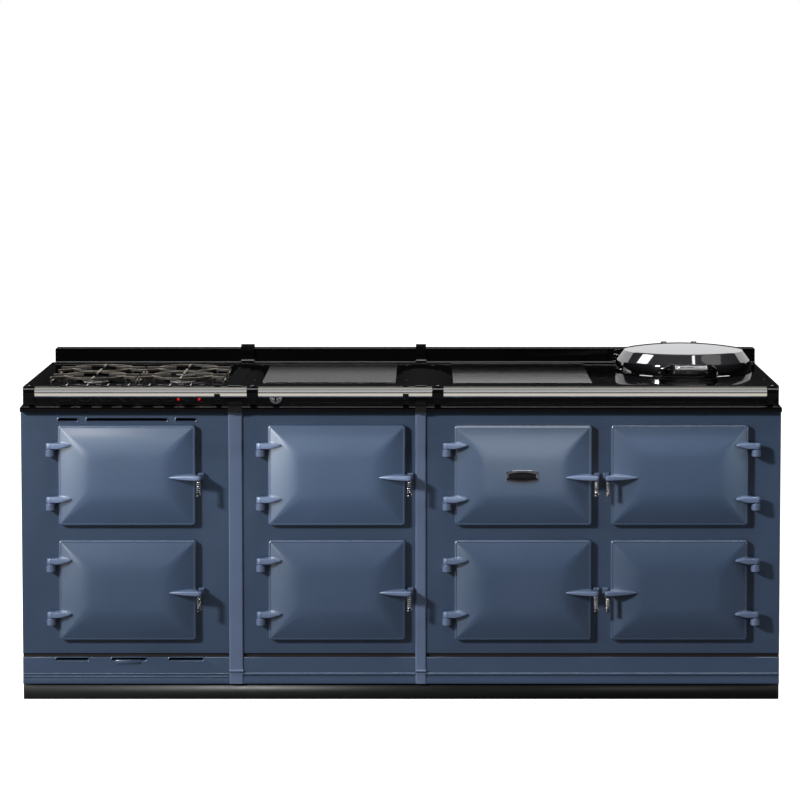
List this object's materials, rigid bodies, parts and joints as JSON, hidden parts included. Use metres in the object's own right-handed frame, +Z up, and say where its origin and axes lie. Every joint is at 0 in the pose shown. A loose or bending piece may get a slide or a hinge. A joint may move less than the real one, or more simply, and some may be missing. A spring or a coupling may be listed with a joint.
{
  "type": "range cooker",
  "caption": "Free-standing enamelled cast iron range cooker: pillowed oven doors with spring-grip latches, gas hob, warming plate, induction glass, lidded hotplate and steel handrail.",
  "frame": {"origin": "on the floor, under the middle of the cooker's width and depth", "axes": "+X to the right as one faces the doors, -Y to the front, +Z up"},
  "size_m": [2.11, 0.698, 0.9613],
  "materials": {
    "blue_enamel": "glossy blue-grey vitreous enamel over cast iron",
    "plinth_paint": "satin charcoal paint",
    "casing_paint": "blue-grey enamelled sheet",
    "oven_iron": "bare cast iron",
    "shelf_wire": "plated wire",
    "black_enamel": "glossy black vitreous enamel over cast iron",
    "rail_steel": "polished stainless steel",
    "gas_brass": "plain brass",
    "lamp_red": "red neon lamp lens",
    "burner_metal": "matt black burner cap on a cast ring",
    "warming_steel": "brushed plate, heat-browned",
    "hob_glass": "black glass-ceramic",
    "hotplate_iron": "machined cast iron",
    "liner_metal": "satin aluminised panel over insulation",
    "spring_chrome": "chromed spring wire",
    "knob_black": "glossy black",
    "knob_chrome": "polished chrome",
    "grate_iron": "worn cast iron",
    "lid_chrome": "polished chrome with black arms",
    "lid_inner": "satin inner plate"
  },
  "bodies": {
    "cooker": {"plinth": "plinth_paint", "casing": "casing_paint", "front_left": "blue_enamel", "front_centre": "blue_enamel", "front_right": "blue_enamel", "joint_strips": "blue_enamel", "oven_column_1": "oven_iron", "oven_column_2": "oven_iron", "oven_column_3": "oven_iron", "oven_column_4": "oven_iron", "oven_shelves": "shelf_wire", "door_lugs": "blue_enamel", "top_plate_left": "black_enamel", "top_plate_centre": "black_enamel", "top_plate_right": "black_enamel", "handrails": "rail_steel", "rail_brackets": "black_enamel", "gas_manifold": "gas_brass", "indicator_lamps": "lamp_red", "burners": "burner_metal", "warming_plate": "warming_steel", "induction_glass": "hob_glass", "hotplate": "hotplate_iron"},
    "door_body_1": {"door_1": "blue_enamel", "door_liner_1": "liner_metal", "latch_grip_1": "spring_chrome"},
    "door_body_2": {"door_2": "blue_enamel", "door_liner_2": "liner_metal", "latch_grip_2": "spring_chrome"},
    "door_body_3": {"door_3": "blue_enamel", "door_liner_3": "liner_metal", "latch_grip_3": "spring_chrome"},
    "door_body_4": {"door_4": "blue_enamel", "door_liner_4": "liner_metal", "latch_grip_4": "spring_chrome"},
    "door_body_5": {"door_5": "blue_enamel", "door_liner_5": "liner_metal", "latch_grip_5": "spring_chrome"},
    "door_body_6": {"door_6": "blue_enamel", "door_liner_6": "liner_metal", "latch_grip_6": "spring_chrome"},
    "door_body_7": {"door_7": "blue_enamel", "door_liner_7": "liner_metal", "latch_grip_7": "spring_chrome"},
    "door_body_8": {"door_8": "blue_enamel", "door_liner_8": "liner_metal", "latch_grip_8": "spring_chrome"},
    "knob_body_1": {"control_knob_1": "knob_black"},
    "knob_body_2": {"control_knob_2": "knob_black"},
    "knob_body_3": {"control_knob_3": "knob_black"},
    "knob_body_4": {"control_knob_4": "knob_black"},
    "knob_body_5": {"control_knob_5": "knob_black"},
    "knob_body_6": {"control_knob_6": "knob_black"},
    "knob_body_7": {"control_knob_7": "knob_black"},
    "warming_knob_body": {"warming_knob": "knob_chrome"},
    "pan_support_left_body": {"pan_support_left": "grate_iron"},
    "pan_support_right_body": {"pan_support_right": "grate_iron"},
    "lid": {"lid_shell": "lid_chrome", "lid_liner": "lid_inner", "lid_handle": "spring_chrome"}
  },
  "joints": [
    {"name": "door_1_hinge", "type": "hinge", "parent": "cooker", "child": "door_body_1", "pos_m": [-0.9715, -0.303, 0.5], "axis": [0, 0, -1], "range_deg": [0, 110]},
    {"name": "door_2_hinge", "type": "hinge", "parent": "cooker", "child": "door_body_2", "pos_m": [-0.9715, -0.303, 0.5], "axis": [0, 0, -1], "range_deg": [0, 110]},
    {"name": "door_3_hinge", "type": "hinge", "parent": "cooker", "child": "door_body_3", "pos_m": [-0.3895, -0.303, 0.5], "axis": [0, 0, -1], "range_deg": [0, 110]},
    {"name": "door_4_hinge", "type": "hinge", "parent": "cooker", "child": "door_body_4", "pos_m": [-0.3895, -0.303, 0.5], "axis": [0, 0, -1], "range_deg": [0, 110]},
    {"name": "door_5_hinge", "type": "hinge", "parent": "cooker", "child": "door_body_5", "pos_m": [0.1275, -0.303, 0.5], "axis": [0, 0, -1], "range_deg": [0, 110]},
    {"name": "door_6_hinge", "type": "hinge", "parent": "cooker", "child": "door_body_6", "pos_m": [0.1275, -0.303, 0.5], "axis": [0, 0, -1], "range_deg": [0, 110]},
    {"name": "door_7_hinge", "type": "hinge", "parent": "cooker", "child": "door_body_7", "pos_m": [0.9845, -0.303, 0.5], "axis": [0, 0, 1], "range_deg": [0, 110]},
    {"name": "door_8_hinge", "type": "hinge", "parent": "cooker", "child": "door_body_8", "pos_m": [0.9845, -0.303, 0.5], "axis": [0, 0, 1], "range_deg": [0, 110]},
    {"name": "gas_tap_1", "type": "hinge", "parent": "cooker", "child": "knob_body_1", "pos_m": [-0.932, -0.298, 0.862], "axis": [0, -1, 0], "range_deg": [0, 180]},
    {"name": "gas_tap_2", "type": "hinge", "parent": "cooker", "child": "knob_body_2", "pos_m": [-0.8746, -0.298, 0.862], "axis": [0, -1, 0], "range_deg": [0, 180]},
    {"name": "gas_tap_3", "type": "hinge", "parent": "cooker", "child": "knob_body_3", "pos_m": [-0.8172, -0.298, 0.862], "axis": [0, -1, 0], "range_deg": [0, 180]},
    {"name": "gas_tap_4", "type": "hinge", "parent": "cooker", "child": "knob_body_4", "pos_m": [-0.7598, -0.298, 0.862], "axis": [0, -1, 0], "range_deg": [0, 180]},
    {"name": "gas_tap_5", "type": "hinge", "parent": "cooker", "child": "knob_body_5", "pos_m": [-0.7024, -0.298, 0.862], "axis": [0, -1, 0], "range_deg": [0, 180]},
    {"name": "oven_control_1", "type": "hinge", "parent": "cooker", "child": "knob_body_6", "pos_m": [-0.645, -0.298, 0.862], "axis": [0, 1, 0], "range_deg": [0, 270]},
    {"name": "oven_control_2", "type": "hinge", "parent": "cooker", "child": "knob_body_7", "pos_m": [-0.5876, -0.298, 0.862], "axis": [0, 1, 0], "range_deg": [0, 270]},
    {"name": "warming_control", "type": "hinge", "parent": "cooker", "child": "warming_knob_body", "pos_m": [-0.346, -0.298, 0.849], "axis": [0, 1, 0], "range_deg": [0, 270]},
    {"name": "pan_support_left_lift", "type": "slide", "parent": "cooker", "child": "pan_support_left_body", "axis": [0, 0, 1], "range_m": [0, 0.06]},
    {"name": "pan_support_right_lift", "type": "slide", "parent": "cooker", "child": "pan_support_right_body", "axis": [0, 0, 1], "range_m": [0, 0.06]},
    {"name": "lid_hinge", "type": "hinge", "parent": "cooker", "child": "lid", "pos_m": [0.815, 0.307, 0.932], "axis": [-1, 0, 0], "range_deg": [0, 92]}
  ]
}
